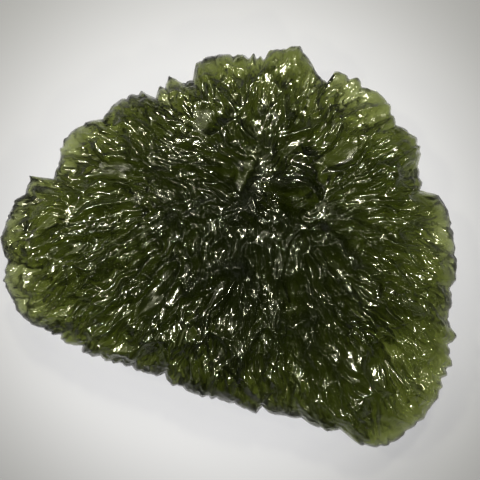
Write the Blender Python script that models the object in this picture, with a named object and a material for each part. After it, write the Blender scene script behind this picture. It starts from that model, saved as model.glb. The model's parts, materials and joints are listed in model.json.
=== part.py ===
"""Moldavite: one flat, deeply sculptured piece of natural green glass.

It lies on the small flat spot of its back, with its best face up. Seen from above, +X is the
right of the stone and +Y its top. The origin is in the middle of the outline, on the surface
that the stone lies on. Every size below is in millimetres, and MM makes metres of it.
"""

import math
from collections import namedtuple

import bmesh
import bpy
import numpy as np
from mathutils import Matrix

MM = 0.001

# Driving sizes of the stone. The thickness is without grooves, and the warp lifts and lowers
# the rim.
WIDTH = 42.0
THICKNESS = 8.4
RIM_THICKNESS = 1.5
RIM_UNEVENNESS = 0.6
WARP = 0.9

# How far out each face stays flat before it falls to the rim: a higher power is a flatter face
FACE_SHOULDER = 3.4
BACK_SHOULDER = 2.4
SHOULDER_ROUNDNESS = 0.8

# The back swells a little around the spot that the stone lies on, and is worn flat there
REST_SPOT = (1.7, -0.6)
REST_SWELLING = 0.9
REST_SWELLING_RADIUS = 7.5
WORN_AWAY = 0.32

# The outline, read clockwise from the left tip, as a stone 42 mm across measures
OUTLINE_WIDTH = 42.0
LEFT_FINS = [
    (-21.0, 1.0), (-20.4, 2.6), (-19.7, 4.4), (-18.6, 5.5), (-18.4, 6.6), (-17.1, 6.4),
    (-16.2, 6.3), (-15.6, 8.0), (-15.6, 9.1), (-15.1, 10.2), (-14.0, 11.1), (-13.1, 11.6),
]
UPPER_LEFT_STEPS = [
    (-11.7, 11.8), (-11.2, 12.6), (-10.3, 13.5), (-9.1, 14.1), (-8.1, 14.4), (-6.8, 13.7),
    (-6.5, 14.8), (-5.6, 15.8), (-4.5, 15.5), (-3.4, 15.5), (-3.1, 16.9), (-1.9, 17.6),
]
TOP_LOBE = [(-0.1, 17.7), (1.9, 17.7), (3.8, 18.1), (6.4, 18.5), (7.2, 17.3), (7.9, 16.0)]
UPPER_RIGHT_PLATES = [
    (8.9, 15.0), (9.8, 16.4), (10.9, 15.7), (11.8, 15.6), (12.1, 14.7), (13.7, 14.2),
    (14.6, 13.3),
]
RIGHT_SHOULDER = [
    (15.2, 11.4), (16.1, 11.1), (17.0, 10.3), (17.7, 8.7), (17.2, 7.5), (17.6, 6.4),
    (17.7, 5.4), (19.2, 4.8), (20.0, 3.6), (20.5, 1.9), (20.6, 0.6),
]
RIGHT_EDGE = [
    (20.9, -1.0), (20.8, -3.0), (20.2, -3.7), (20.5, -4.7), (20.1, -6.6), (21.0, -8.0),
    (20.2, -9.0), (20.6, -10.5), (19.8, -12.1), (19.2, -13.8),
]
FOOT = [
    (17.9, -15.7), (15.8, -17.4), (14.2, -18.4), (12.0, -18.1), (10.3, -16.9), (8.8, -16.8),
    (6.6, -15.7), (5.2, -15.4), (3.6, -15.1), (3.0, -14.5), (2.4, -15.1),
]
LOWER_EDGE = [
    (0.5, -14.2), (-1.2, -13.8), (-3.2, -13.4), (-5.0, -12.6), (-7.0, -11.7), (-9.4, -10.8),
    (-11.6, -10.2), (-13.1, -9.7), (-14.7, -9.0), (-15.6, -8.1),
]
LOWER_LEFT = [(-17.7, -7.3), (-19.4, -5.9), (-20.0, -4.6), (-20.8, -3.0), (-20.4, -1.4)]
OUTLINE = (
    LEFT_FINS + UPPER_LEFT_STEPS + TOP_LOBE + UPPER_RIGHT_PLATES + RIGHT_SHOULDER
    + RIGHT_EDGE + FOOT + LOWER_EDGE + LOWER_LEFT
)

# The crests between the grooves end in teeth at the rim, this far beyond the grooves
TOOTH_DEPTH = 0.6

# Grooves run away from the hubs. Near a comb they lean to its direction, in degrees.
Hub = namedtuple("Hub", "x y strength")
HUBS = [
    Hub(3.0, 9.0, 1.0),
    Hub(3.0, 6.4, 1.0),
    Hub(1.4, 3.6, 1.0),
    Hub(-5.1, 2.8, 2.0),
    Hub(8.0, 1.6, 2.0),
]
HUB_CORE = 0.55
Comb = namedtuple("Comb", "x y direction reach")
COMBS = [
    Comb(-2.7, 8.0, 180.0, 2.6),
    Comb(-10.3, 5.3, 183.0, 2.6),
    Comb(-10.5, -0.5, 211.0, 3.2),
    Comb(12.5, -4.0, -30.0, 3.5),
    Comb(5.5, -8.0, -88.0, 3.0),
    Comb(13.0, 8.5, 32.0, 3.0),
]
COMB_PULL = 1.5

# The sets of grooves in each face, wide ones and narrow ones
Grooves = namedtuple("Grooves", "width length depth seed")
WIDE_FACE_GROOVES = Grooves(2.3, 7.0, 0.85, 11)
NARROW_FACE_GROOVES = Grooves(1.3, 4.0, 0.45, 12)
WIDE_BACK_GROOVES = Grooves(2.9, 7.5, 0.80, 21)
NARROW_BACK_GROOVES = Grooves(1.6, 4.2, 0.35, 22)
GROOVE_BEND = 0.35
GROOVE_SIZE_SPREAD = 0.3
MEAN_GROOVE_HEIGHT = 0.55

# Smooth hollows and deep pits of the seen face, and sockets of the back. Calm is the share of
# the grooves that they wipe out.
Hollow = namedtuple("Hollow", "x y half_length half_width direction depth calm")
FACE_HOLLOWS = [
    Hollow(-10.3, 7.1, 2.2, 1.0, 10.0, 0.7, 0.8),
    Hollow(-2.3, 11.4, 1.5, 0.9, 75.0, 0.6, 0.8),
    Hollow(9.8, 8.4, 2.3, 1.1, 25.0, 0.8, 0.8),
    Hollow(-16.8, 1.8, 1.5, 0.9, 35.0, 0.5, 0.8),
    Hollow(-15.2, -0.5, 1.6, 0.9, 20.0, 0.5, 0.8),
    Hollow(-7.3, -4.9, 2.0, 0.9, 35.0, 0.7, 0.8),
    Hollow(0.9, 6.4, 1.6, 0.8, 90.0, 0.5, 0.8),
    Hollow(8.0, 5.2, 1.6, 0.8, 90.0, 0.4, 0.8),
    Hollow(6.1, 4.3, 1.3, 1.1, 0.0, 1.5, 0.5),
    Hollow(-0.3, 6.8, 0.8, 0.8, 0.0, 0.9, 0.5),
    Hollow(14.5, -9.5, 1.4, 1.4, 0.0, 1.1, 0.5),
    Hollow(11.1, 0.3, 0.9, 0.9, 0.0, 0.8, 0.5),
    Hollow(14.4, -3.5, 0.9, 0.9, 0.0, 0.8, 0.5),
    Hollow(5.8, -5.6, 1.0, 1.0, 0.0, 0.9, 0.5),
]
BACK_HOLLOWS = [
    Hollow(-9.0, 4.5, 2.3, 1.7, 160.0, 1.1, 0.5),
    Hollow(8.5, 7.5, 2.4, 2.0, 40.0, 1.2, 0.5),
    Hollow(-3.5, -8.0, 1.8, 1.6, 70.0, 0.9, 0.5),
    Hollow(13.0, -6.5, 2.5, 1.8, 150.0, 1.2, 0.5),
    Hollow(-14.5, -3.0, 1.5, 1.4, 0.0, 0.7, 0.5),
    Hollow(0.5, 11.5, 1.7, 1.5, 90.0, 0.8, 0.5),
]

# Crests that stand out on the seen face
Crest = namedtuple("Crest", "line width height")
CRESTS = [
    Crest([(3.6, 9.2), (3.2, 6.6), (1.5, 3.4), (-1.5, 3.1), (-5.1, 2.8)], 1.4, 0.7),
    Crest([(1.5, 3.4), (4.5, 2.1), (8.0, 1.6)], 1.2, 0.6),
    Crest([(-5.1, 2.8), (-8.2, 0.9), (-12.9, -1.9)], 1.0, 0.7),
    Crest([(-6.0, 1.2), (-10.6, -1.6), (-13.2, -3.2)], 1.0, 0.7),
    Crest([(-3.5, -3.7), (-0.8, -1.9), (1.1, -1.8), (2.5, -4.1)], 1.1, 0.8),
    Crest([(8.0, 1.6), (13.6, -2.8), (19.4, -7.7)], 1.2, 0.5),
    Crest([(4.4, 5.7), (6.4, 5.9), (7.6, 4.9)], 1.0, 0.8),
    Crest([(4.6, -6.6), (7.2, -6.2)], 1.0, 0.7),
]

# Where the body is thicker, above 1, or thinner, below 1
Swelling = namedtuple("Swelling", "x y reach share")
SWELLINGS = [
    Swelling(7.0, -5.0, 9.0, 1.18),
    Swelling(12.0, 14.0, 4.5, 0.45),
    Swelling(-17.0, 1.0, 6.0, 0.75),
]

# Fineness of the solid, and the block that cuts its back flat
SPHERE_SUBDIVISIONS = 8
SOLID_TRIANGLES = 9300
CUTTER_HEIGHT = 6.0

GLASS_GREEN = (0.16, 0.24, 0.055, 1.0)
GLASS_ROUGHNESS = 0.12
GLASS_IOR = 1.49


def ease(share):
    """An even S from 0 to 1, level at both ends."""
    share = np.clip(share, 0.0, 1.0)
    return share * share * (3.0 - 2.0 * share)


def swell(x, y, size, seed):
    """Soft bumps between -1 and 1, about one for each stretch of the given size."""
    count = 64
    heights = np.random.default_rng(seed).uniform(-1.0, 1.0, (count, count))
    left, low = np.floor(x / size).astype(int), np.floor(y / size).astype(int)
    across, up = ease(x / size - left), ease(y / size - low)
    left, right = left % count, (left + 1) % count
    low, high = low % count, (low + 1) % count
    bottom = heights[left, low] * (1.0 - across) + heights[right, low] * across
    top = heights[left, high] * (1.0 - across) + heights[right, high] * across
    return bottom * (1.0 - up) + top * up


def away_from_line(x, y, line):
    """Distance to the nearest point of a line through some points."""
    nearest = np.full_like(x, np.inf)
    for (start_x, start_y), (end_x, end_y) in zip(line, line[1:]):
        run_x, run_y = end_x - start_x, end_y - start_y
        share = ((x - start_x) * run_x + (y - start_y) * run_y) / (run_x**2 + run_y**2)
        share = np.clip(share, 0.0, 1.0)
        away = np.hypot(x - start_x - share * run_x, y - start_y - share * run_y)
        nearest = np.minimum(nearest, away)
    return nearest


def groove_direction(x, y):
    """The unit direction in which grooves run: away from the hubs, led by the combs."""
    lead_x, lead_y = np.zeros_like(x), np.zeros_like(y)
    for hub in HUBS:
        off_x, off_y = x - hub.x, y - hub.y
        push = hub.strength / (off_x**2 + off_y**2 + HUB_CORE**2)
        lead_x, lead_y = lead_x + push * off_x, lead_y + push * off_y
    for comb in COMBS:
        turn = math.radians(comb.direction)
        pull = COMB_PULL * np.exp(-((x - comb.x) ** 2 + (y - comb.y) ** 2) / comb.reach**2)
        lead_x, lead_y = lead_x + pull * math.cos(turn), lead_y + pull * math.sin(turn)
    length = np.maximum(np.hypot(lead_x, lead_y), 1e-6)
    return lead_x / length, lead_y / length


def crests_between(x, y, grooves):
    """0 along the bottom of each long U-shaped groove, rising to a sharp 1 where two meet.

    Each groove grows from a scattered point, stretched along the direction of the flow there.
    """
    pitch = math.sqrt(grooves.width * grooves.length)
    count = int(1.2 * WIDTH / pitch) + 8
    rng = np.random.default_rng(grooves.seed)
    jitter_x, jitter_y = rng.uniform(0.1, 0.9, (2, count, count))
    smallness = rng.uniform(0.0, GROOVE_SIZE_SPREAD, (count, count))
    home_column = np.floor(x / pitch + count / 2).astype(int)
    home_row = np.floor(y / pitch + count / 2).astype(int)
    nearest, next_nearest = np.full_like(x, 9.0), np.full_like(x, 9.0)
    for step_column in range(-3, 4):
        for step_row in range(-3, 4):
            column = np.clip(home_column + step_column, 0, count - 1)
            row = np.clip(home_row + step_row, 0, count - 1)
            point_x = (column + jitter_x[column, row] - count / 2) * pitch
            point_y = (row + jitter_y[column, row] - count / 2) * pitch
            flow_x, flow_y = groove_direction(point_x, point_y)
            off_x, off_y = x - point_x, y - point_y
            along = (off_x * flow_x + off_y * flow_y) / grooves.length
            across = (off_y * flow_x - off_x * flow_y) / grooves.width
            away = np.hypot(along, across) + smallness[column, row]
            next_nearest = np.minimum(next_nearest, np.maximum(nearest, away))
            nearest = np.minimum(nearest, away)
    return (nearest / next_nearest) ** 2


def carve(x, y, grooves):
    """Height that one set of grooves leaves, with the grooves bent a little and uneven in depth."""
    bend = GROOVE_BEND * grooves.width
    bent_x = x + bend * swell(x, y, 1.2 * grooves.width, grooves.seed + 100)
    bent_y = y + bend * swell(x, y, 1.2 * grooves.width, grooves.seed + 200)
    strength = grooves.depth * (0.8 + 0.4 * swell(x, y, 5.0, grooves.seed + 300))
    return strength * (crests_between(bent_x, bent_y, grooves) - MEAN_GROOVE_HEIGHT)


def hollow_share(x, y, hollow):
    """1 in the middle of an oval hollow, falling to 0 outside it."""
    turn = math.radians(hollow.direction)
    off_x, off_y = x - hollow.x, y - hollow.y
    along = off_x * math.cos(turn) + off_y * math.sin(turn)
    across = off_y * math.cos(turn) - off_x * math.sin(turn)
    return np.exp(-((along / hollow.half_length) ** 2) - (across / hollow.half_width) ** 2)


def sculpture(x, y, groove_sets, hollows):
    """Height of one face over its plain curve: grooves, wiped out in part by the hollows."""
    height, calm = np.zeros_like(x), np.ones_like(x)
    for hollow in hollows:
        share = hollow_share(x, y, hollow)
        height -= hollow.depth * share
        calm *= 1.0 - hollow.calm * share
    for grooves in groove_sets:
        height += calm * carve(x, y, grooves)
    return height


def seen_face(x, y):
    """Sculpture of the seen face, with its lumps and the crests that stand out."""
    height = sculpture(x, y, [WIDE_FACE_GROOVES, NARROW_FACE_GROOVES], FACE_HOLLOWS)
    for crest in CRESTS:
        height += crest.height * (1.0 - ease(away_from_line(x, y, crest.line) / crest.width))
    return height + 0.5 * swell(x, y, 7.0, 31)


def back_face(x, y):
    """Sculpture of the back, which swells where the stone lies on it and is worn there."""
    height = sculpture(x, y, [WIDE_BACK_GROOVES, NARROW_BACK_GROOVES], BACK_HOLLOWS)
    height += 0.5 * swell(x, y, 8.0, 41)
    away = np.hypot(x - REST_SPOT[0], y - REST_SPOT[1])
    rest = np.exp(-((away / REST_SWELLING_RADIUS) ** 2))
    return height * (1.0 - 0.8 * rest) + REST_SWELLING * rest


def outline_reach(angle, share):
    """Distance from the middle to the outline at an angle. Its notches fade out inwards."""
    corners = np.array(OUTLINE) * WIDTH / OUTLINE_WIDTH
    turns = np.arctan2(corners[:, 1], corners[:, 0])
    order = np.argsort(turns)
    turns, lengths = turns[order], np.hypot(*corners[order].T)

    def reach_at(turn):
        return np.interp(turn, turns, lengths, period=2.0 * math.pi)

    around = np.radians(range(-15, 16, 3))
    even = sum(reach_at(angle + turn) for turn in around) / len(around)
    reach = reach_at(angle)
    crest = crests_between(reach * np.cos(angle), reach * np.sin(angle), NARROW_FACE_GROOVES)
    teeth = TOOTH_DEPTH * (crest - 0.8)
    return even + (reach + teeth - even) * share**5


def shape_stone(sphere):
    """Moves every point of a unit sphere to its place on the stone, in millimetres."""
    up = sphere[:, 2]
    share = np.sqrt(np.clip(1.0 - np.abs(up) ** 1.5, 0.0, 1.0))
    angle = np.arctan2(sphere[:, 1], sphere[:, 0])
    reach = share * outline_reach(angle, share)
    x, y = reach * np.cos(angle), reach * np.sin(angle)

    body = (THICKNESS - RIM_THICKNESS) / 2.0
    for swelling in SWELLINGS:
        near = np.exp(-((x - swelling.x) ** 2 + (y - swelling.y) ** 2) / swelling.reach**2)
        body = body * (1.0 + (swelling.share - 1.0) * near)
    blunt = np.sqrt(np.clip(1.0 - share**24, 0.0, 1.0))
    rim = RIM_THICKNESS / 2.0 * (1.0 + RIM_UNEVENNESS * swell(x, y, 5.0, 62)) * blunt

    inside = 1.0 - share**12
    face_fall = np.clip(1.0 - share**FACE_SHOULDER, 0.0, 1.0) ** SHOULDER_ROUNDNESS
    back_fall = np.clip(1.0 - share**BACK_SHOULDER, 0.0, 1.0) ** SHOULDER_ROUNDNESS
    face = rim + body * face_fall + inside * seen_face(x, y)
    back = -rim - body * back_fall - inside * back_face(x, y)
    middle = (face + back) / 2.0
    face = np.maximum(face, middle + 0.4 * rim)
    back = np.minimum(back, middle - 0.4 * rim)
    z = np.where(up > 0.0, face, np.where(up < 0.0, back, middle))
    z += WARP * swell(x, y, 11.0, 61) * share**2
    return np.column_stack((x, y, z))


def glass_material():
    """Bottle-green natural glass."""
    material = bpy.data.materials.new("green_glass")
    material.use_nodes = True
    shader = material.node_tree.nodes["Principled BSDF"]
    shader.inputs["Base Color"].default_value = GLASS_GREEN
    shader.inputs["Roughness"].default_value = GLASS_ROUGHNESS
    shader.inputs["Metallic"].default_value = 0.0
    shader.inputs["IOR"].default_value = GLASS_IOR
    shader.inputs["Transmission Weight"].default_value = 1.0
    material.diffuse_color = GLASS_GREEN
    return material


def thin_out(obj, triangles):
    """Leaves the mesh the given number of triangles, fewest where it is flattest."""
    modifier = obj.modifiers.new("fewer", "DECIMATE")
    modifier.ratio = triangles / len(obj.data.polygons)
    evaluated = obj.evaluated_get(bpy.context.evaluated_depsgraph_get())
    thinned = bpy.data.meshes.new_from_object(evaluated)
    obj.modifiers.remove(modifier)
    dense = obj.data
    obj.data = thinned
    bpy.data.meshes.remove(dense)


def settle(obj):
    """Puts the middle of the outline on the origin, and what is worn away below the ground."""
    points = np.empty(len(obj.data.vertices) * 3)
    obj.data.vertices.foreach_get("co", points)
    low, high = points.reshape(-1, 3).min(axis=0), points.reshape(-1, 3).max(axis=0)
    middle = (low + high) / 2.0
    ground = low[2] + WORN_AWAY * MM
    obj.data.transform(Matrix.Translation((-middle[0], -middle[1], -ground)))


def wear_flat(obj, cutters):
    """Cuts off what is below the ground, which leaves the small flat spot."""
    bpy.ops.mesh.primitive_cube_add(size=1.0, location=(0.0, 0.0, -CUTTER_HEIGHT * MM / 2.0))
    ground = bpy.context.object
    ground.name = "ground_cutter"
    ground.scale = (2.0 * WIDTH * MM, 2.0 * WIDTH * MM, CUTTER_HEIGHT * MM)
    bpy.ops.object.transform_apply(location=True, rotation=False, scale=True)
    for collection in list(ground.users_collection):
        collection.objects.unlink(ground)
    cutters.objects.link(ground)
    ground.hide_render = True
    ground.display_type = "WIRE"
    flat = obj.modifiers.new("rest_spot", "BOOLEAN")
    flat.operation = "DIFFERENCE"
    flat.object = ground


def build_stone(collection, cutters):
    """The whole stone, as one closed mesh."""
    mesh = bmesh.new()
    bmesh.ops.create_icosphere(mesh, subdivisions=SPHERE_SUBDIVISIONS, radius=1.0)
    data = bpy.data.meshes.new("moldavite")
    mesh.to_mesh(data)
    mesh.free()

    sphere = np.empty(len(data.vertices) * 3)
    data.vertices.foreach_get("co", sphere)
    stone = shape_stone(sphere.reshape(-1, 3)) * MM
    data.vertices.foreach_set("co", stone.ravel())
    data.update()

    obj = bpy.data.objects.new("moldavite", data)
    collection.objects.link(obj)
    thin_out(obj, SOLID_TRIANGLES)
    settle(obj)
    wear_flat(obj, cutters)
    obj.data.materials.append(glass_material())
    obj.data.shade_smooth()


def main():
    for obj in list(bpy.data.objects):
        bpy.data.objects.remove(obj, do_unlink=True)
    collection = bpy.data.collections.new("moldavite")
    cutters = bpy.data.collections.new("cutters")
    bpy.context.scene.collection.children.link(collection)
    bpy.context.scene.collection.children.link(cutters)
    build_stone(collection, cutters)


main()
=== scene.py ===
"""Moldavite: the looks of one flat, deeply sculptured piece of natural green glass.

It lies on the small flat spot of its back, with its best face up. Seen from above, +X is the
right of the stone and +Y its top. The origin is in the middle of the outline, on the surface
that the stone lies on. Sizes of the form are in millimetres, and MM makes metres of them.
"""

import json
import math
from collections import namedtuple

import bmesh
import bpy
import numpy as np
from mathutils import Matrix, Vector

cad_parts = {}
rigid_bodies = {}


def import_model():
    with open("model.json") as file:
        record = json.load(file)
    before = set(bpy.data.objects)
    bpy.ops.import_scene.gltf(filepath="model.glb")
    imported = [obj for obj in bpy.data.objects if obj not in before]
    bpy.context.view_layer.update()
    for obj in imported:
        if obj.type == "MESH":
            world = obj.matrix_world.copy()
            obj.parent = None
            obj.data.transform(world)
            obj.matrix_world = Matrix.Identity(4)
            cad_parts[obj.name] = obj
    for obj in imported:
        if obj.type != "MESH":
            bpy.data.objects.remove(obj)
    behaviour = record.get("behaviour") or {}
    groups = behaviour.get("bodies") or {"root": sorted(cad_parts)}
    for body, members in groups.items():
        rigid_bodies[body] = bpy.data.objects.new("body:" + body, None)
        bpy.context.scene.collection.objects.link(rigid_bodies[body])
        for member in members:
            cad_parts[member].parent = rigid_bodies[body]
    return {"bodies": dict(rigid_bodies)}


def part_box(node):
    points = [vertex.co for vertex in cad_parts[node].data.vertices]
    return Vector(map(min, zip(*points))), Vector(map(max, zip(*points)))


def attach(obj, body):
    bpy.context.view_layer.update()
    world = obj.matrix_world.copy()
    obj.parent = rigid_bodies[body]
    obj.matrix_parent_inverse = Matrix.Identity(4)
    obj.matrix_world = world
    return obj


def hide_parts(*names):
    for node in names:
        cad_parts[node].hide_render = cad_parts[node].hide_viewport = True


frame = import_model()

bl_info = {
    "name": "Moldavite",
    "version": (1, 0, 0),
    "blender": (4, 5, 0),
    "location": "3D View > Sidebar > Moldavite",
    "description": "Builds a sculptured piece of natural green glass and a pale stage",
    "category": "Add Mesh",
}

MM = 0.001
NODE = "moldavite"
BODY = next(iter(frame["bodies"]))
SOLID_LOW, SOLID_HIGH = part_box(NODE)
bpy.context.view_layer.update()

# Driving sizes of the stone. The thickness is without grooves, and this share of the rim's is
# left where grooves of both faces meet.
WIDTH = 42.0
THICKNESS = 7.9
RIM_THICKNESS = 1.5
LEAST_RIM_SHARE = 0.4

# Soft bumps: how high or strong they are, how far from one to the next, and their random seed.
# The warp lifts and lowers the rim.
Bumps = namedtuple("Bumps", "height size seed")
WARP = Bumps(0.9, 11.0, 61)
RIM_UNEVENNESS = Bumps(0.6, 5.0, 62)
FACE_LUMPS = Bumps(0.5, 7.0, 31)
BACK_LUMPS = Bumps(0.5, 8.0, 41)
TOOTH_UNEVENNESS = Bumps(0.8, 3.0, 63)

# Powers of the way out from the middle, which is 0, to the rim, which is 1. The higher they
# are, the nearer to the rim a face falls, the rim turns round, the sculpture ends, and the
# outline's notches and the warp begin. The roundness is the power of the face's fall itself.
FACE_SHOULDER = 4.2
BACK_SHOULDER = 2.8
RIM_BLUNTNESS = 60
SCULPTURE_FADE = 16
NOTCH_FADE = 5
WARP_RISE = 2
SHOULDER_ROUNDNESS = 0.8

# How the points of the sphere spread out over the two faces
POINT_SPREAD = 1.5

# The back swells a little around the spot that the stone lies on, and is worn flat there
REST_SPOT = (1.7, -0.6)
REST_SWELLING = 0.9
REST_SWELLING_RADIUS = 7.5
REST_CALM = 0.8
REST_CALM_RADIUS = 2.5
WORN_AWAY = 0.32

# The outline, read clockwise from the left tip, as a stone 42 mm across measures
OUTLINE_WIDTH = 42.0
LEFT_FINS = [
    (-21.0, 1.0), (-20.4, 2.6), (-19.7, 4.4), (-18.6, 5.5), (-18.4, 6.6), (-17.1, 6.4),
    (-16.2, 6.3), (-15.6, 8.0), (-15.6, 9.1), (-15.1, 10.2), (-14.0, 11.1), (-13.1, 11.6),
]
UPPER_LEFT_STEPS = [
    (-11.7, 11.8), (-11.2, 12.6), (-10.3, 13.5), (-9.1, 14.1), (-8.1, 14.4), (-6.8, 13.7),
    (-6.5, 14.8), (-5.6, 15.8), (-4.5, 15.5), (-3.4, 15.5), (-3.1, 16.9), (-1.9, 17.6),
]
TOP_LOBE = [(-0.1, 17.7), (1.9, 17.7), (3.8, 18.1), (6.4, 18.5), (7.2, 17.3), (7.9, 16.0)]
UPPER_RIGHT_PLATES = [
    (8.9, 15.0), (9.8, 16.4), (10.9, 15.7), (11.8, 15.6), (12.1, 14.7), (13.7, 14.2),
    (14.6, 13.3),
]
RIGHT_SHOULDER = [
    (15.2, 11.4), (16.1, 11.1), (17.0, 10.3), (17.7, 8.7), (17.2, 7.5), (17.6, 6.4),
    (17.7, 5.4), (19.2, 4.8), (20.0, 3.6), (20.5, 1.9), (20.6, 0.6),
]
RIGHT_EDGE = [
    (20.9, -1.0), (20.8, -3.0), (20.2, -3.7), (20.5, -4.7), (20.1, -6.6), (21.0, -8.0),
    (20.2, -9.0), (20.6, -10.5), (19.8, -12.1), (19.2, -13.8),
]
FOOT = [
    (17.9, -15.7), (15.8, -17.4), (14.2, -18.4), (12.0, -18.1), (10.3, -16.9), (8.8, -16.8),
    (6.6, -15.7), (5.2, -15.4), (3.6, -15.1), (3.0, -14.5), (2.4, -15.1),
]
LOWER_EDGE = [
    (0.5, -14.2), (-1.2, -13.8), (-3.2, -13.4), (-5.0, -12.6), (-7.0, -11.7), (-9.4, -10.8),
    (-11.6, -10.2), (-13.1, -9.7), (-14.7, -9.0), (-15.6, -8.1),
]
LOWER_LEFT = [(-17.7, -7.3), (-19.4, -5.9), (-20.0, -4.6), (-20.8, -3.0), (-20.4, -1.4)]
OUTLINE = (
    LEFT_FINS + UPPER_LEFT_STEPS + TOP_LOBE + UPPER_RIGHT_PLATES + RIGHT_SHOULDER
    + RIGHT_EDGE + FOOT + LOWER_EDGE + LOWER_LEFT
)

# The crests between the grooves end in teeth at the rim, which reach a little past the outline.
# Its notches fade out inwards to an even curve, its mean over some degrees to both sides.
TOOTH_DEPTH = 0.6
SMALL_TOOTH_DEPTH = 0.4
TOOTH_REACH = 0.1
EVEN_DEGREES = 15
EVEN_STEP = 3

# Grooves run away from the hubs, each with a soft core. Near a comb they lean to its
# direction, in degrees.
Hub = namedtuple("Hub", "x y strength")
HUBS = [
    Hub(3.0, 9.0, 1.0),
    Hub(3.0, 6.4, 1.0),
    Hub(1.4, 3.6, 1.0),
    Hub(-5.1, 2.8, 2.0),
    Hub(8.0, 1.6, 2.0),
]
HUB_CORE = 0.55
SHORTEST_LEAD = 1e-6
Comb = namedtuple("Comb", "x y direction reach")
COMBS = [
    Comb(-2.7, 8.0, 180.0, 2.6),
    Comb(-10.3, 5.3, 183.0, 2.6),
    Comb(-10.5, -0.5, 211.0, 3.2),
    Comb(12.5, -4.0, -30.0, 3.5),
    Comb(5.5, -8.0, -88.0, 3.0),
    Comb(13.0, 8.5, 32.0, 3.0),
]
COMB_PULL = 1.5

# The sets of grooves in each face, from wide to fine
Grooves = namedtuple("Grooves", "width length depth seed")
WIDE_FACE_GROOVES = Grooves(2.3, 7.0, 1.0, 11)
NARROW_FACE_GROOVES = Grooves(1.3, 4.0, 0.65, 12)
FINE_FACE_GROOVES = Grooves(0.8, 2.6, 0.32, 13)
WIDE_BACK_GROOVES = Grooves(2.9, 7.5, 0.90, 21)
NARROW_BACK_GROOVES = Grooves(1.6, 4.2, 0.50, 22)
FINE_BACK_GROOVES = Grooves(0.9, 2.8, 0.25, 23)

# Single grooves are smaller by up to this much. The mean height is taken off each set, and the
# roundness makes its sharp crests blunter.
GROOVE_SIZE_SPREAD = 0.4
MEAN_GROOVE_HEIGHT = 0.6
CREST_ROUNDNESS = 0.3

# Grooves bend by this share of their width, over bends this many widths long. Their depth
# varies from patch to patch. Each set's own seed is added to these seeds.
GROOVE_BEND = 0.45
BEND_LENGTH = 1.2
BEND_X_SEED = 100
BEND_Y_SEED = 200
MEAN_GROOVE_DEPTH = 0.85
DEPTH_SPREAD = Bumps(0.5, 4.0, 300)

# Each groove grows from a point in a cell of a square grid, this far along its sides. The grid
# reaches past the stone, and grooves are looked for this many cells to each side.
POINT_JITTER = (0.1, 0.9)
GRID_REACH = 1.2
SPARE_CELLS = 8
SEARCHED_CELLS = 2
FURTHER_THAN_ANY = 9.0

# Smooth hollows and deep pits of the seen face, and sockets of the back. Calm is the share of
# the grooves that they wipe out.
Hollow = namedtuple("Hollow", "x y half_length half_width direction depth calm")
FACE_HOLLOWS = [
    Hollow(-10.3, 7.1, 2.3, 1.1, 10.0, 0.3, 0.93),
    Hollow(-2.3, 11.4, 1.7, 1.1, 75.0, 0.2, 0.85),
    Hollow(9.8, 8.4, 2.4, 1.2, 25.0, 0.3, 0.93),
    Hollow(-16.8, 1.8, 1.7, 1.0, 35.0, 0.2, 0.75),
    Hollow(-15.2, -0.5, 1.8, 1.0, 20.0, 0.2, 0.75),
    Hollow(-7.3, -4.9, 2.2, 1.1, 35.0, 0.3, 0.9),
    Hollow(2.4, 6.4, 3.4, 1.4, 70.0, 0.0, 0.7),
    Hollow(8.9, 3.0, 1.7, 1.2, 110.0, 0.0, 0.6),
    Hollow(0.9, 6.4, 1.8, 0.9, 90.0, 0.1, 0.75),
    Hollow(8.0, 5.2, 1.8, 0.9, 90.0, 0.3, 0.75),
    Hollow(6.1, 4.3, 1.3, 1.1, 0.0, 1.5, 0.5),
    Hollow(-0.3, 6.8, 0.8, 0.8, 0.0, 0.9, 0.5),
    Hollow(14.5, -9.5, 1.4, 1.4, 0.0, 1.1, 0.5),
    Hollow(11.1, 0.3, 0.9, 0.9, 0.0, 0.8, 0.5),
    Hollow(14.4, -3.5, 0.9, 0.9, 0.0, 0.8, 0.5),
    Hollow(5.8, -5.6, 1.0, 1.0, 0.0, 0.9, 0.5),
]
BACK_HOLLOWS = [
    Hollow(2.3, 6.2, 3.4, 1.7, 70.0, 1.3, 0.5),
    Hollow(-9.0, 4.5, 2.3, 1.7, 160.0, 1.1, 0.5),
    Hollow(8.5, 7.5, 2.4, 2.0, 40.0, 1.2, 0.5),
    Hollow(-3.5, -8.0, 1.8, 1.6, 70.0, 0.9, 0.5),
    Hollow(13.0, -6.5, 2.5, 1.8, 150.0, 1.2, 0.5),
    Hollow(-14.5, -3.0, 1.5, 1.4, 0.0, 0.7, 0.5),
    Hollow(0.5, 11.5, 1.7, 1.5, 90.0, 0.8, 0.5),
]

# Crests that stand out on the seen face
Crest = namedtuple("Crest", "line width height")
CRESTS = [
    Crest([(3.6, 9.2), (3.2, 6.6), (1.5, 3.4)], 1.5, 0.5),
    Crest([(1.5, 3.4), (-1.5, 3.1), (-5.1, 2.8)], 1.3, 0.35),
    Crest([(1.5, 3.4), (4.5, 2.1), (8.0, 1.6)], 1.2, 0.35),
    Crest([(-5.1, 2.8), (-8.2, 0.9), (-12.9, -1.9)], 1.0, 0.7),
    Crest([(-6.0, 1.2), (-10.6, -1.6), (-13.2, -3.2)], 1.0, 0.7),
    Crest([(-3.5, -3.7), (-0.8, -1.9), (1.1, -1.8), (2.5, -4.1)], 1.1, 0.95),
    Crest([(8.0, 1.6), (13.6, -2.8), (19.4, -7.7)], 1.2, 0.5),
    Crest([(4.4, 5.7), (6.4, 5.9), (7.6, 4.9)], 1.0, 0.95),
    Crest([(4.6, -6.6), (7.2, -6.2)], 1.0, 0.7),
]

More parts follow.
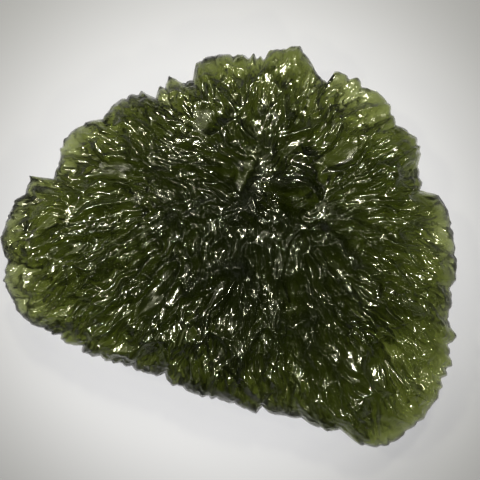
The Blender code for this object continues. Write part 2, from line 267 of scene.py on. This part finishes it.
# Where the body is thicker, above 1, or thinner, below 1
Swelling = namedtuple("Swelling", "x y reach share")
SWELLINGS = [
    Swelling(7.0, -5.0, 9.0, 1.18),
    Swelling(12.0, 14.0, 4.3, 0.1),
    Swelling(-17.0, 1.0, 6.0, 0.95),
    Swelling(-16.5, -6.5, 3.0, 1.4),
    Swelling(-20.2, -0.8, 3.0, 0.5),
]

# Patches that are crinkled all over, like foil. The share of crinkle is 1 elsewhere, less in
# the calm hollows and more on these patches.
Patch = namedtuple("Patch", "line width")
FOIL_PATCHES = [
    Patch([(3.2, 9.0), (3.0, 6.4), (1.6, 3.4)], 1.9),
    Patch([(8.4, 4.2), (9.4, 1.8)], 1.7),
    Patch([(-5.6, 3.4), (-4.4, 2.4)], 1.3),
]
CALM_CRINKLE = 0.3
FOIL_CRINKLE = 0.9

# The crinkle is a noise smeared along the grooves, this many times over its length. The
# contrast narrows its crests.
SMEAR_STEPS = 7
CRINKLE_CONTRAST = 6.0

# Finer relief of the skin, which the normals show: streaks with the grooves, lumps all over,
# and facets on the foil patches
STREAK_WIDTH = 0.28
STREAK_LENGTH = 0.9
STREAK_DEPTH = 0.02
STREAK_SEED = 5.0
FOIL_SIZE = 0.45
FOIL_DEPTH = 0.12
LUMP_SIZE = 0.35
LUMP_DEPTH = 0.012

# The glass itself. Its etched skin is rougher on the lumps and the foil, and its gloss fades
# out in the hollows, where there is little crinkle.
INDEX = 1.49
SURFACE_TINT = (0.95, 0.97, 0.92, 1.0)
ROUGHNESS_SPREAD = 0.03
FOIL_ROUGHNESS = 0.08
HOLLOW_DULLNESS = 1.6

SPHERE_SUBDIVISIONS = 9

# The photographed view: millimetres across it, and where its middle is from the stone's
VIEW_WIDTH = 44.3
VIEW_OFFSET = (0.97, 0.65)
LENS = 100.0
SENSOR = 36.0

# The photograph has deep shadows, and a gamma below 1 darkens them
VIEW_GAMMA = 0.75

# The floor is seen by its own glow, a painted pool of light, which is even under the stone
# and dims further out. Half its side is in metres.
FLOOR_HALF_SIDE = 1.5
FLOOR_GAP = 0.02
FLOOR_BASE = (0.03, 0.03, 0.03, 1.0)
FLOOR_ROUGHNESS = 0.7
GLOW_RADIUS = 16.0
DIM_RADIUS = 36.0
DIM_SHARE = 0.43

# Light from all round: bright up to the first height of a unit direction, dim above the second
HORIZON_HEIGHT = 0.02
OVERHEAD_HEIGHT = 0.3
HORIZON_LIGHT = 0.45
OVERHEAD_LIGHT = 0.03

# Lamps, in degrees, metres and watts. The first four are soft, the others give the glints.
LAMP_COLOUR = (1.0, 0.98, 0.82)
Lamp = namedtuple("Lamp", "name azimuth elevation distance size power")
LAMPS = [
    Lamp("front_soft", 95.0, 68.0, 0.45, 0.05, 0.22),
    Lamp("top_soft", 105.0, 50.0, 0.45, 0.09, 0.50),
    Lamp("left_soft", 185.0, 45.0, 0.45, 0.08, 0.30),
    Lamp("right_soft", 15.0, 45.0, 0.45, 0.08, 0.30),
    Lamp("top_hard", 80.0, 60.0, 0.45, 0.04, 0.70),
    Lamp("left_hard", 150.0, 58.0, 0.45, 0.035, 0.50),
    Lamp("low_hard", -60.0, 55.0, 0.45, 0.03, 0.35),
]


class Wire:
    """A value in a node tree. Arithmetic on it adds Math nodes, and node() adds any other."""

    def __init__(self, tree, socket=None):
        self.tree = tree
        self.socket = socket

    def node(self, kind, settings=None, values=None, output=0):
        """Adds a node: its settings first, then the numbers or wires of its sockets."""
        made = self.tree.nodes.new(kind)
        for name, setting in (settings or {}).items():
            setattr(made, name, setting)
        for name, value in (values or {}).items():
            socket = made.inputs[name]
            if isinstance(value, Wire):
                self.tree.links.new(value.socket, socket)
            elif socket.type == "VECTOR" and isinstance(value, float):
                socket.default_value = (value, value, value)
            else:
                socket.default_value = value
        return Wire(self.tree, made.outputs[output] if made.outputs else None)

    def math(self, operation, first, second=0.0):
        return self.node("ShaderNodeMath", {"operation": operation}, {0: first, 1: second})

    def __add__(self, other):
        return self.math("ADD", self, other)

    def __sub__(self, other):
        return self.math("SUBTRACT", self, other)

    def __rsub__(self, other):
        return self.math("SUBTRACT", other, self)

    def __mul__(self, other):
        return self.math("MULTIPLY", self, other)

    def __truediv__(self, other):
        return self.math("DIVIDE", self, other)

    def __rtruediv__(self, other):
        return self.math("DIVIDE", other, self)

    def __abs__(self):
        return self.math("ABSOLUTE", self)

    __radd__ = __add__
    __rmul__ = __mul__


def ease(share):
    """An even S from 0 to 1, level at both ends."""
    share = np.clip(share, 0.0, 1.0)
    return share * share * (3.0 - 2.0 * share)


def swell(x, y, size, seed):
    """Soft bumps between -1 and 1, one for each stretch of a size. They repeat after a while."""
    count = 64
    heights = np.random.default_rng(seed).uniform(-1.0, 1.0, (count, count))
    left, low = np.floor(x / size).astype(int), np.floor(y / size).astype(int)
    across, up = ease(x / size - left), ease(y / size - low)
    left, right = left % count, (left + 1) % count
    low, high = low % count, (low + 1) % count
    bottom = heights[left, low] * (1.0 - across) + heights[right, low] * across
    top = heights[left, high] * (1.0 - across) + heights[right, high] * across
    return bottom * (1.0 - up) + top * up


def bumpy(x, y, bumps):
    """Soft bumps of one kind, up to their height above and below 0."""
    return bumps.height * swell(x, y, bumps.size, bumps.seed)


def away_from_line(x, y, line):
    """Distance to the nearest point of a line through some points."""
    nearest = np.full_like(x, np.inf)
    for (start_x, start_y), (end_x, end_y) in zip(line, line[1:]):
        run_x, run_y = end_x - start_x, end_y - start_y
        share = ((x - start_x) * run_x + (y - start_y) * run_y) / (run_x**2 + run_y**2)
        share = np.clip(share, 0.0, 1.0)
        away = np.hypot(x - start_x - share * run_x, y - start_y - share * run_y)
        nearest = np.minimum(nearest, away)
    return nearest


def groove_direction(x, y):
    """The unit direction in which grooves run: away from the hubs, led by the combs."""
    lead_x, lead_y = np.zeros_like(x), np.zeros_like(y)
    for hub in HUBS:
        off_x, off_y = x - hub.x, y - hub.y
        push = hub.strength / (off_x**2 + off_y**2 + HUB_CORE**2)
        lead_x, lead_y = lead_x + push * off_x, lead_y + push * off_y
    for comb in COMBS:
        turn = math.radians(comb.direction)
        pull = COMB_PULL * np.exp(-((x - comb.x) ** 2 + (y - comb.y) ** 2) / comb.reach**2)
        lead_x, lead_y = lead_x + pull * math.cos(turn), lead_y + pull * math.sin(turn)
    length = np.maximum(np.hypot(lead_x, lead_y), SHORTEST_LEAD)
    return lead_x / length, lead_y / length


def crests_between(x, y, grooves):
    """0 along the bottom of each long U-shaped groove, rising to 1 where two meet.

    Each groove grows from a scattered point, stretched along the direction of the flow there.
    """
    pitch = math.sqrt(grooves.width * grooves.length)
    count = int(GRID_REACH * WIDTH / pitch) + SPARE_CELLS
    rng = np.random.default_rng(grooves.seed)
    jitter_x, jitter_y = rng.uniform(*POINT_JITTER, (2, count, count))
    smallness = rng.uniform(0.0, GROOVE_SIZE_SPREAD, (count, count))
    columns, rows = np.mgrid[:count, :count]
    point_x = (columns + jitter_x - count / 2) * pitch
    point_y = (rows + jitter_y - count / 2) * pitch
    flow_x, flow_y = groove_direction(point_x, point_y)
    scattered = [
        table.astype(np.float32).ravel() for table in (point_x, point_y, flow_x, flow_y, smallness)
    ]

    x, y = x.astype(np.float32), y.astype(np.float32)
    home = np.floor(x / pitch + count / 2).astype(int) * count
    home += np.floor(y / pitch + count / 2).astype(int)
    nearest, next_nearest = np.full_like(x, FURTHER_THAN_ANY), np.full_like(x, FURTHER_THAN_ANY)
    steps = range(-SEARCHED_CELLS, SEARCHED_CELLS + 1)
    for step_column in steps:
        for step_row in steps:
            cell = home + (step_column * count + step_row)
            at_x, at_y, towards_x, towards_y, small = (table[cell] for table in scattered)
            off_x, off_y = x - at_x, y - at_y
            along = (off_x * towards_x + off_y * towards_y) / grooves.length
            across = (off_y * towards_x - off_x * towards_y) / grooves.width
            away = np.sqrt(along * along + across * across) + small
            next_nearest = np.minimum(next_nearest, np.maximum(nearest, away))
            nearest = np.minimum(nearest, away)
    return nearest / next_nearest


def carve(x, y, grooves):
    """Height that one set of grooves leaves, with the grooves bent a little and uneven in depth."""
    bend, bend_length = GROOVE_BEND * grooves.width, BEND_LENGTH * grooves.width
    bent_x = x + bend * swell(x, y, bend_length, grooves.seed + BEND_X_SEED)
    bent_y = y + bend * swell(x, y, bend_length, grooves.seed + BEND_Y_SEED)
    spread = DEPTH_SPREAD._replace(seed=grooves.seed + DEPTH_SPREAD.seed)
    strength = grooves.depth * (MEAN_GROOVE_DEPTH + bumpy(x, y, spread))
    near_crest = crests_between(bent_x, bent_y, grooves)
    sharp, rounded = near_crest**2, ease(near_crest)
    height = sharp + CREST_ROUNDNESS * (rounded - sharp)
    return strength * (height - MEAN_GROOVE_HEIGHT)


def hollow_share(x, y, hollow):
    """1 in the middle of an oval hollow, falling to 0 outside it."""
    turn = math.radians(hollow.direction)
    off_x, off_y = x - hollow.x, y - hollow.y
    along = off_x * math.cos(turn) + off_y * math.sin(turn)
    across = off_y * math.cos(turn) - off_x * math.sin(turn)
    away = (along / hollow.half_length) ** 2 + (across / hollow.half_width) ** 2
    return np.exp(-(away**2))


def sculpture(x, y, groove_sets, hollows):
    """Height of one face over its plain curve: grooves, wiped out in part by the hollows."""
    height, calm = np.zeros_like(x), np.ones_like(x)
    for hollow in hollows:
        share = hollow_share(x, y, hollow)
        height -= hollow.depth * share
        calm *= 1.0 - hollow.calm * share
    for grooves in groove_sets:
        height += calm * carve(x, y, grooves)
    return height


def seen_face(x, y):
    """Sculpture of the seen face, with its lumps and the crests that stand out."""
    groove_sets = [WIDE_FACE_GROOVES, NARROW_FACE_GROOVES, FINE_FACE_GROOVES]
    height = sculpture(x, y, groove_sets, FACE_HOLLOWS)
    for crest in CRESTS:
        height += crest.height * (1.0 - ease(away_from_line(x, y, crest.line) / crest.width))
    return height + bumpy(x, y, FACE_LUMPS)


def back_face(x, y):
    """Sculpture of the back, which swells where the stone lies on it and is worn there."""
    groove_sets = [WIDE_BACK_GROOVES, NARROW_BACK_GROOVES, FINE_BACK_GROOVES]
    height = sculpture(x, y, groove_sets, BACK_HOLLOWS)
    height += bumpy(x, y, BACK_LUMPS)
    away = np.hypot(x - REST_SPOT[0], y - REST_SPOT[1])
    swelling = REST_SWELLING * np.exp(-((away / REST_SWELLING_RADIUS) ** 2))
    return height * (1.0 - REST_CALM * np.exp(-((away / REST_CALM_RADIUS) ** 2))) + swelling


def outline_reach(angle, share):
    """Distance from the middle to the outline at an angle. Its notches fade out inwards."""
    corners = np.array(OUTLINE) * WIDTH / OUTLINE_WIDTH
    turns = np.arctan2(corners[:, 1], corners[:, 0])
    order = np.argsort(turns)
    turns, lengths = turns[order], np.hypot(*corners[order].T)

    def reach_at(turn):
        return np.interp(turn, turns, lengths, period=2.0 * math.pi)

    around = np.radians(range(-EVEN_DEGREES, EVEN_DEGREES + 1, EVEN_STEP))
    even = sum(reach_at(angle + turn) for turn in around) / len(around)
    reach = reach_at(angle)
    rim_x, rim_y = reach * np.cos(angle), reach * np.sin(angle)
    notch = (1.0 - crests_between(rim_x, rim_y, NARROW_FACE_GROOVES)) ** 2
    small_notch = (1.0 - crests_between(rim_x, rim_y, FINE_FACE_GROOVES)) ** 2
    ragged = 1.0 + bumpy(rim_x, rim_y, TOOTH_UNEVENNESS)
    teeth = TOOTH_REACH - ragged * (TOOTH_DEPTH * notch + SMALL_TOOTH_DEPTH * small_notch)
    return even + (reach + teeth - even) * share**NOTCH_FADE


def shape_stone(sphere):
    """Moves every point of a unit sphere to its place on the stone, in millimetres."""
    up = sphere[:, 2]
    share = np.sqrt(np.clip(1.0 - np.abs(up) ** POINT_SPREAD, 0.0, 1.0))
    angle = np.arctan2(sphere[:, 1], sphere[:, 0])
    reach = share * outline_reach(angle, share)
    x, y = reach * np.cos(angle), reach * np.sin(angle)

    body = (THICKNESS - RIM_THICKNESS) / 2.0
    for swelling in SWELLINGS:
        near = np.exp(-((x - swelling.x) ** 2 + (y - swelling.y) ** 2) / swelling.reach**2)
        body = body * (1.0 + (swelling.share - 1.0) * near)
    blunt = np.sqrt(np.clip(1.0 - share**RIM_BLUNTNESS, 0.0, 1.0))
    rim = RIM_THICKNESS / 2.0 * (1.0 + bumpy(x, y, RIM_UNEVENNESS)) * blunt

    inside = 1.0 - share**SCULPTURE_FADE
    face_fall = np.clip(1.0 - share**FACE_SHOULDER, 0.0, 1.0) ** SHOULDER_ROUNDNESS
    back_fall = np.clip(1.0 - share**BACK_SHOULDER, 0.0, 1.0) ** SHOULDER_ROUNDNESS
    face = rim + body * face_fall + inside * seen_face(x, y)
    back = -rim - body * back_fall - inside * back_face(x, y)
    middle = (face + back) / 2.0
    face = np.maximum(face, middle + LEAST_RIM_SHARE * rim)
    back = np.minimum(back, middle - LEAST_RIM_SHARE * rim)
    z = np.where(up > 0.0, face, np.where(up < 0.0, back, middle))
    z += bumpy(x, y, WARP) * share**WARP_RISE
    return np.column_stack((x, y, z))


def read_points(mesh):
    """The mesh's points, as rows of x, y and z."""
    points = np.empty(len(mesh.vertices) * 3)
    mesh.vertices.foreach_get("co", points)
    return points.reshape(-1, 3)


def write_points(mesh, points):
    """Puts the mesh's points in new places."""
    mesh.vertices.foreach_set("co", points.ravel())
    mesh.update()


def store(mesh, name, kind, values):
    """Keeps a value for each point of the mesh, under a name that nodes can read."""
    attribute = mesh.attributes.get(name) or mesh.attributes.new(name, kind, "POINT")
    field = "vector" if kind == "FLOAT_VECTOR" else "value"
    attribute.data.foreach_set(field, np.asarray(values, np.float32).ravel())


def crinkle_share(x, y):
    """How much crinkle there is: little in the smooth hollows, most on the foil patches."""
    share = np.ones_like(x)
    for hollow in FACE_HOLLOWS:
        share *= 1.0 - (1.0 - CALM_CRINKLE) * hollow.calm * hollow_share(x, y, hollow)
    for patch in FOIL_PATCHES:
        near = 1.0 - ease(away_from_line(x, y, patch.line) / patch.width)
        share += FOIL_CRINKLE * near
    return share


def store_flow(mesh):
    """Keeps the direction of the grooves and the share of crinkle at each point."""
    x, y = (read_points(mesh) / MM).T[:2]
    flow_x, flow_y = groove_direction(x, y)
    store(mesh, "flow", "FLOAT_VECTOR", np.column_stack((flow_x, flow_y, np.zeros_like(x))))
    store(mesh, "crinkle", "FLOAT", crinkle_share(x, y))


def smeared(start, place, flow, width, length, seed):
    """A soft noise, about 0.5 on average, drawn out along the flow into streaks."""
    streak = 0.0
    for step in range(SMEAR_STEPS):
        shift = length * (step / (SMEAR_STEPS - 1) - 0.5)
        moved = start.node(
            "ShaderNodeVectorMath", {"operation": "MULTIPLY_ADD"}, {0: flow, 1: shift, 2: place}
        )
        noise = start.node(
            "ShaderNodeTexNoise",
            {"noise_dimensions": "4D"},
            {"Vector": moved, "W": seed, "Scale": 1.0 / width, "Detail": 0.0},
        )
        streak = streak + noise
    return streak / SMEAR_STEPS


def crinkle_tree():
    """Geometry Nodes: fine sharp crests that run with the grooves, over the whole surface."""
    tree = bpy.data.node_groups.new("crinkle", "GeometryNodeTree")
    for name, kind in (
        ("Geometry", "NodeSocketGeometry"),
        ("Width", "NodeSocketFloat"),
        ("Length", "NodeSocketFloat"),
        ("Depth", "NodeSocketFloat"),
        ("Seed", "NodeSocketFloat"),
        ("Material", "NodeSocketMaterial"),
    ):
        tree.interface.new_socket(name, in_out="INPUT", socket_type=kind)
    tree.interface.new_socket("Geometry", in_out="OUTPUT", socket_type="NodeSocketGeometry")

    start = Wire(tree)

    def given(name):
        return start.node("NodeGroupInput", output=name)

    def kept(name, kind):
        return start.node("GeometryNodeInputNamedAttribute", {"data_type": kind}, {"Name": name})

    place = start.node("GeometryNodeInputPosition")
    streak = smeared(
        start, place, kept("flow", "FLOAT_VECTOR"), given("Width"), given("Length"), given("Seed")
    )
    crest = start.node("ShaderNodeClamp", None, {0: 1.0 - abs(streak - 0.5) * CRINKLE_CONTRAST})
    height = (crest - 0.5) * given("Depth") * kept("crinkle", "FLOAT")
    outwards = start.node(
        "ShaderNodeVectorMath",
        {"operation": "SCALE"},
        {0: start.node("GeometryNodeInputNormal"), "Scale": height},
    )
    moved = start.node(
        "GeometryNodeSetPosition", None, {"Geometry": given("Geometry"), "Offset": outwards}
    )
    whole = start.node("GeometryNodeRealizeInstances", None, {"Geometry": moved})
    dressed = start.node(
        "GeometryNodeSetMaterial", None, {"Geometry": whole, "Material": given("Material")}
    )
    start.node("NodeGroupOutput", None, {"Geometry": dressed})
    return tree


def glass_material(settings):
    """Bottle-green natural glass, coloured by what it absorbs.

    Its etched skin scatters what is seen through it, and a sharper gloss over it glints.
    """
    material = bpy.data.materials.new("green_glass")
    material.use_nodes = True
    material.node_tree.nodes.clear()
    start = Wire(material.node_tree)
    place = start.node("ShaderNodeTexCoord", output="Object")
    flow = start.node("ShaderNodeAttribute", {"attribute_name": "flow"}, output="Vector")
    crinkle = start.node("ShaderNodeAttribute", {"attribute_name": "crinkle"}, output="Fac")

    streak = smeared(start, place, flow, STREAK_WIDTH * MM, STREAK_LENGTH * MM, STREAK_SEED)
    crest = start.node("ShaderNodeClamp", None, {0: 1.0 - abs(streak - 0.5) * CRINKLE_CONTRAST})
    lumps = start.node(
        "ShaderNodeTexNoise",
        {"noise_dimensions": "3D"},
        {"Vector": place, "Scale": 1.0 / (LUMP_SIZE * MM), "Detail": 1.0},
    )
    facets = start.node(
        "ShaderNodeTexVoronoi",
        {"feature": "DISTANCE_TO_EDGE"},
        {"Vector": place, "Scale": 1.0 / (FOIL_SIZE * MM)},
        "Distance",
    )
    foil = start.node("ShaderNodeClamp", None, {0: crinkle - 1.0})
    glossy = start.node("ShaderNodeClamp", None, {0: 1.0 - (1.0 - crinkle) * HOLLOW_DULLNESS})
    skin = crest * crinkle * (STREAK_DEPTH * MM) + lumps * (LUMP_DEPTH * MM)
    skin = skin + facets * foil * (FOIL_DEPTH * MM)
    bump = start.node("ShaderNodeBump", None, {"Height": skin, "Distance": 1.0}, "Normal")

    shader = start.node(
        "ShaderNodeBsdfPrincipled",
        None,
        {
            "Base Color": SURFACE_TINT,
            "Roughness": settings.roughness + lumps * ROUGHNESS_SPREAD + foil * FOIL_ROUGHNESS,
            "IOR": INDEX,
            "Transmission Weight": 1.0,
            "Specular Tint": (*[settings.etched_gloss] * 3, 1.0),
            "Normal": bump,
            "Coat Weight": glossy,
            "Coat Roughness": settings.gloss_roughness,
            "Coat IOR": INDEX,
        },
    )
    dye = start.node(
        "ShaderNodeVolumeAbsorption",
        None,
        {"Color": (*settings.glass_colour, 1.0), "Density": settings.glass_density},
    )
    start.node("ShaderNodeOutputMaterial", None, {"Surface": shader, "Volume": dye})
    return material


def dress(obj, settings, material):
    """Adds the crinkle, thins the mesh out, and leaves the result as a plain mesh."""
    tree = crinkle_tree()
    crinkle = obj.modifiers.new("crinkle", "NODES")
    crinkle.node_group = tree
    given = {
        "Width": settings.crinkle_width,
        "Length": settings.crinkle_length,
        "Depth": settings.crinkle_depth,
        "Seed": float(settings.crinkle_seed),
        "Material": material,
    }
    for item in tree.interface.items_tree:
        if item.in_out == "INPUT" and item.name in given:
            crinkle[item.identifier] = given[item.name]
    fewer = obj.modifiers.new("fewer", "DECIMATE")
    fewer.ratio = min(1.0, settings.triangles / len(obj.data.polygons))
    evaluated = obj.evaluated_get(bpy.context.evaluated_depsgraph_get())
    finished = bpy.data.meshes.new_from_object(evaluated)
    obj.modifiers.clear()
    dense = obj.data
    obj.data = finished
    bpy.data.meshes.remove(dense)


def settle(mesh, middle, ground):
    """Puts the outline on the solid's, and wears what is below the ground flat."""
    points = read_points(mesh)
    points -= (middle[0], middle[1], ground)
    solid_middle = (SOLID_LOW + SOLID_HIGH) / 2.0
    points += (solid_middle.x, solid_middle.y, SOLID_LOW.z)
    points[:, 2] = np.maximum(points[:, 2], SOLID_LOW.z)
    write_points(mesh, points)


class StoneSettings(bpy.types.PropertyGroup):
    """Sizes and colours of the stone."""

    crinkle_width: bpy.props.FloatProperty(
        name="Crinkle width",
        description="From one fine crest to the next",
        default=0.60 * MM,
        precision=5,
        unit="LENGTH",
    )
    crinkle_length: bpy.props.FloatProperty(
        name="Crinkle length",
        description="How far a fine crest runs with the grooves",
        default=2.0 * MM,
        precision=5,
        unit="LENGTH",
    )
    crinkle_depth: bpy.props.FloatProperty(
        name="Crinkle depth",
        description="Height of the fine crests",
        default=0.12 * MM,
        precision=5,
        unit="LENGTH",
    )
    crinkle_seed: bpy.props.IntProperty(
        name="Crinkle seed", description="Picks another crinkle of the same kind", default=3
    )
    triangles: bpy.props.IntProperty(
        name="Triangles", description="Fineness of the finished stone", default=190000
    )
    glass_colour: bpy.props.FloatVectorProperty(
        name="Glass colour",
        description="Colour that the glass lets through",
        subtype="COLOR",
        default=(0.69, 0.718, 0.43),
        min=0.0,
        max=1.0,
    )
    glass_density: bpy.props.FloatProperty(
        name="Glass density",
        description="How strongly a metre of the glass absorbs light",
        default=1200.0,
    )
    roughness: bpy.props.FloatProperty(
        name="Roughness",
        description="How much the etched skin scatters what is seen through it",
        default=0.28,
        min=0.0,
        max=1.0,
        subtype="FACTOR",
    )
    gloss_roughness: bpy.props.FloatProperty(
        name="Gloss roughness",
        description="Dullness of the glints",
        default=0.05,
        min=0.0,
        max=1.0,
        subtype="FACTOR",
    )
    etched_gloss: bpy.props.FloatProperty(
        name="Etched gloss",
        description="Strength of the broad sheen under the glints",
        default=0.36,
        min=0.0,
        max=1.0,
        subtype="FACTOR",
    )


class StageSettings(bpy.types.PropertyGroup):
    """Light and floor."""

    # Colour of the floor's glow, a painted pool of light; the floor's own colour is FLOOR_BASE
    floor_glow_colour: bpy.props.FloatVectorProperty(
        name="Floor colour",
        description="Colour of the floor",
        subtype="COLOR",
        default=(0.79, 0.79, 0.81),
        min=0.0,
        max=1.0,
    )
    floor_glow: bpy.props.FloatProperty(
        name="Floor glow", description="Light that the floor gives under the stone", default=0.88
    )
    lamp_strength: bpy.props.FloatProperty(
        name="Lamp strength", description="Scales the power of every lamp", default=2.6
    )


class BuildStone(bpy.types.Operator):
    """Builds the stone in place of its solid"""

    bl_idname = "moldavite.build_stone"
    bl_label = "Build the stone"

    def execute(self, context):
        settings = context.scene.moldavite_stone
        form = bmesh.new()
        bmesh.ops.create_icosphere(form, subdivisions=SPHERE_SUBDIVISIONS, radius=1.0)
        mesh = bpy.data.meshes.new("stone")
        form.to_mesh(mesh)
        form.free()
        points = shape_stone(read_points(mesh)) * MM
        low, high = points.min(axis=0), points.max(axis=0)
        write_points(mesh, points)
        store_flow(mesh)

        stone = bpy.data.objects.new("stone", mesh)
        context.scene.collection.objects.link(stone)
        dress(stone, settings, glass_material(settings))
        # Thinning the mesh out blurs what its points keep, so that is worked out once more
        store_flow(stone.data)
        settle(stone.data, (low + high) / 2.0, low[2] + WORN_AWAY * MM)
        stone.data.shade_smooth()
        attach(stone, BODY)
        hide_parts(NODE)
        return {"FINISHED"}


def floor_material(settings):
    """A pale floor seen by its own glow, a painted pool of light that is brightest under the stone.
    """
    material = bpy.data.materials.new("pale_floor")
    material.use_nodes = True
    material.node_tree.nodes.clear()
    start = Wire(material.node_tree)
    place = start.node("ShaderNodeTexCoord", output="Object")
    away = start.node("ShaderNodeVectorMath", {"operation": "LENGTH"}, {0: place}, "Value")
    # Painted pool of light: the glow is full under the stone and dims further out
    lit = start.node(
        "ShaderNodeMapRange",
        {"interpolation_type": "SMOOTHSTEP"},
        {
            "Value": away,
            "From Min": GLOW_RADIUS * MM,
            "From Max": DIM_RADIUS * MM,
            "To Min": 1.0,
            "To Max": DIM_SHARE,
        },
    )
    glow = start.node(
        "ShaderNodeVectorMath",
        {"operation": "SCALE"},
        {0: tuple(settings.floor_glow_colour), "Scale": lit},
    )
    shader = start.node(
        "ShaderNodeBsdfPrincipled",
        None,
        {
            "Base Color": FLOOR_BASE,
            "Roughness": FLOOR_ROUGHNESS,
            "Emission Color": glow,
            "Emission Strength": settings.floor_glow,
        },
    )
    start.node("ShaderNodeOutputMaterial", None, {"Surface": shader})
    return material


def build_floor(scene, settings):
    """A wide square just under the stone."""
    form = bmesh.new()
    bmesh.ops.create_grid(form, x_segments=1, y_segments=1, size=FLOOR_HALF_SIDE)
    bmesh.ops.translate(form, verts=form.verts, vec=(0.0, 0.0, -FLOOR_GAP * MM))
    mesh = bpy.data.meshes.new("floor")
    form.to_mesh(mesh)
    form.free()
    mesh.materials.append(floor_material(settings))
    floor = bpy.data.objects.new("floor", mesh)
    scene.collection.objects.link(floor)


def build_lamp(scene, lamp, strength):
    """A soft square lamp that faces the stone, and isn't seen through it."""
    turn, rise = math.radians(lamp.azimuth), math.radians(lamp.elevation)
    towards = Vector(
        (math.cos(turn) * math.cos(rise), math.sin(turn) * math.cos(rise), math.sin(rise))
    )
    light = bpy.data.lights.new(lamp.name, "AREA")
    light.size = lamp.size
    light.energy = lamp.power * strength
    light.color = LAMP_COLOUR
    obj = bpy.data.objects.new(lamp.name, light)
    obj.location = towards * lamp.distance
    obj.rotation_mode = "QUATERNION"
    obj.rotation_quaternion = towards.to_track_quat("Z", "Y")
    obj.visible_transmission = False
    scene.collection.objects.link(obj)


def build_world(scene):
    """Light from all round, which fades from the horizon upwards."""
    world = bpy.data.worlds.new("studio")
    world.use_nodes = True
    world.node_tree.nodes.clear()
    start = Wire(world.node_tree)
    direction = start.node("ShaderNodeTexCoord", output="Generated")
    height = start.node("ShaderNodeSeparateXYZ", None, {0: direction}, "Z")
    bright = start.node(
        "ShaderNodeMapRange",
        {"interpolation_type": "SMOOTHSTEP"},
        {
            "Value": height,
            "From Min": HORIZON_HEIGHT,
            "From Max": OVERHEAD_HEIGHT,
            "To Min": HORIZON_LIGHT,
            "To Max": OVERHEAD_LIGHT,
        },
    )
    sky = start.node("ShaderNodeBackground", None, {"Strength": bright})
    start.node("ShaderNodeOutputWorld", None, {"Surface": sky})
    scene.world = world


def build_camera(scene):
    """Looks straight down, as the photograph does."""
    data = bpy.data.cameras.new("camera")
    data.lens = LENS
    data.sensor_width = SENSOR
    camera = bpy.data.objects.new("camera", data)
    away = VIEW_WIDTH * LENS / SENSOR
    camera.location = Vector((*VIEW_OFFSET, away)) * MM
    camera.location.z += (SOLID_LOW.z + SOLID_HIGH.z) / 2.0
    scene.collection.objects.link(camera)
    scene.camera = camera


class BuildStage(bpy.types.Operator):
    """Builds the pale floor, the lamps and the camera"""

    bl_idname = "moldavite.build_stage"
    bl_label = "Build the stage"

    def execute(self, context):
        scene = context.scene
        settings = scene.moldavite_stage
        build_floor(scene, settings)
        for lamp in LAMPS:
            build_lamp(scene, lamp, settings.lamp_strength)
        build_world(scene)
        build_camera(scene)
        scene.view_settings.view_transform = "Standard"
        scene.view_settings.gamma = VIEW_GAMMA
        return {"FINISHED"}


class MoldavitePanel(bpy.types.Panel):
    """Lists what this file builds"""

    bl_idname = "VIEW3D_PT_moldavite"
    bl_label = "Moldavite"
    bl_space_type = "VIEW_3D"
    bl_region_type = "UI"
    bl_category = "Moldavite"

    def draw(self, context):
        for settings, operator in (
            (context.scene.moldavite_stone, BuildStone),
            (context.scene.moldavite_stage, BuildStage),
        ):
            box = self.layout.box()
            for name in settings.__annotations__:
                box.prop(settings, name)
            box.operator(operator.bl_idname)


CLASSES = (StoneSettings, StageSettings, BuildStone, BuildStage, MoldavitePanel)


def register():
    for kind in CLASSES:
        bpy.utils.register_class(kind)
    bpy.types.Scene.moldavite_stone = bpy.props.PointerProperty(type=StoneSettings)
    bpy.types.Scene.moldavite_stage = bpy.props.PointerProperty(type=StageSettings)


def unregister():
    del bpy.types.Scene.moldavite_stage
    del bpy.types.Scene.moldavite_stone
    for kind in reversed(CLASSES):
        bpy.utils.unregister_class(kind)


def main():
    register()
    bpy.ops.moldavite.build_stone()
    bpy.ops.moldavite.build_stage()


if __name__ == "__main__":
    main()
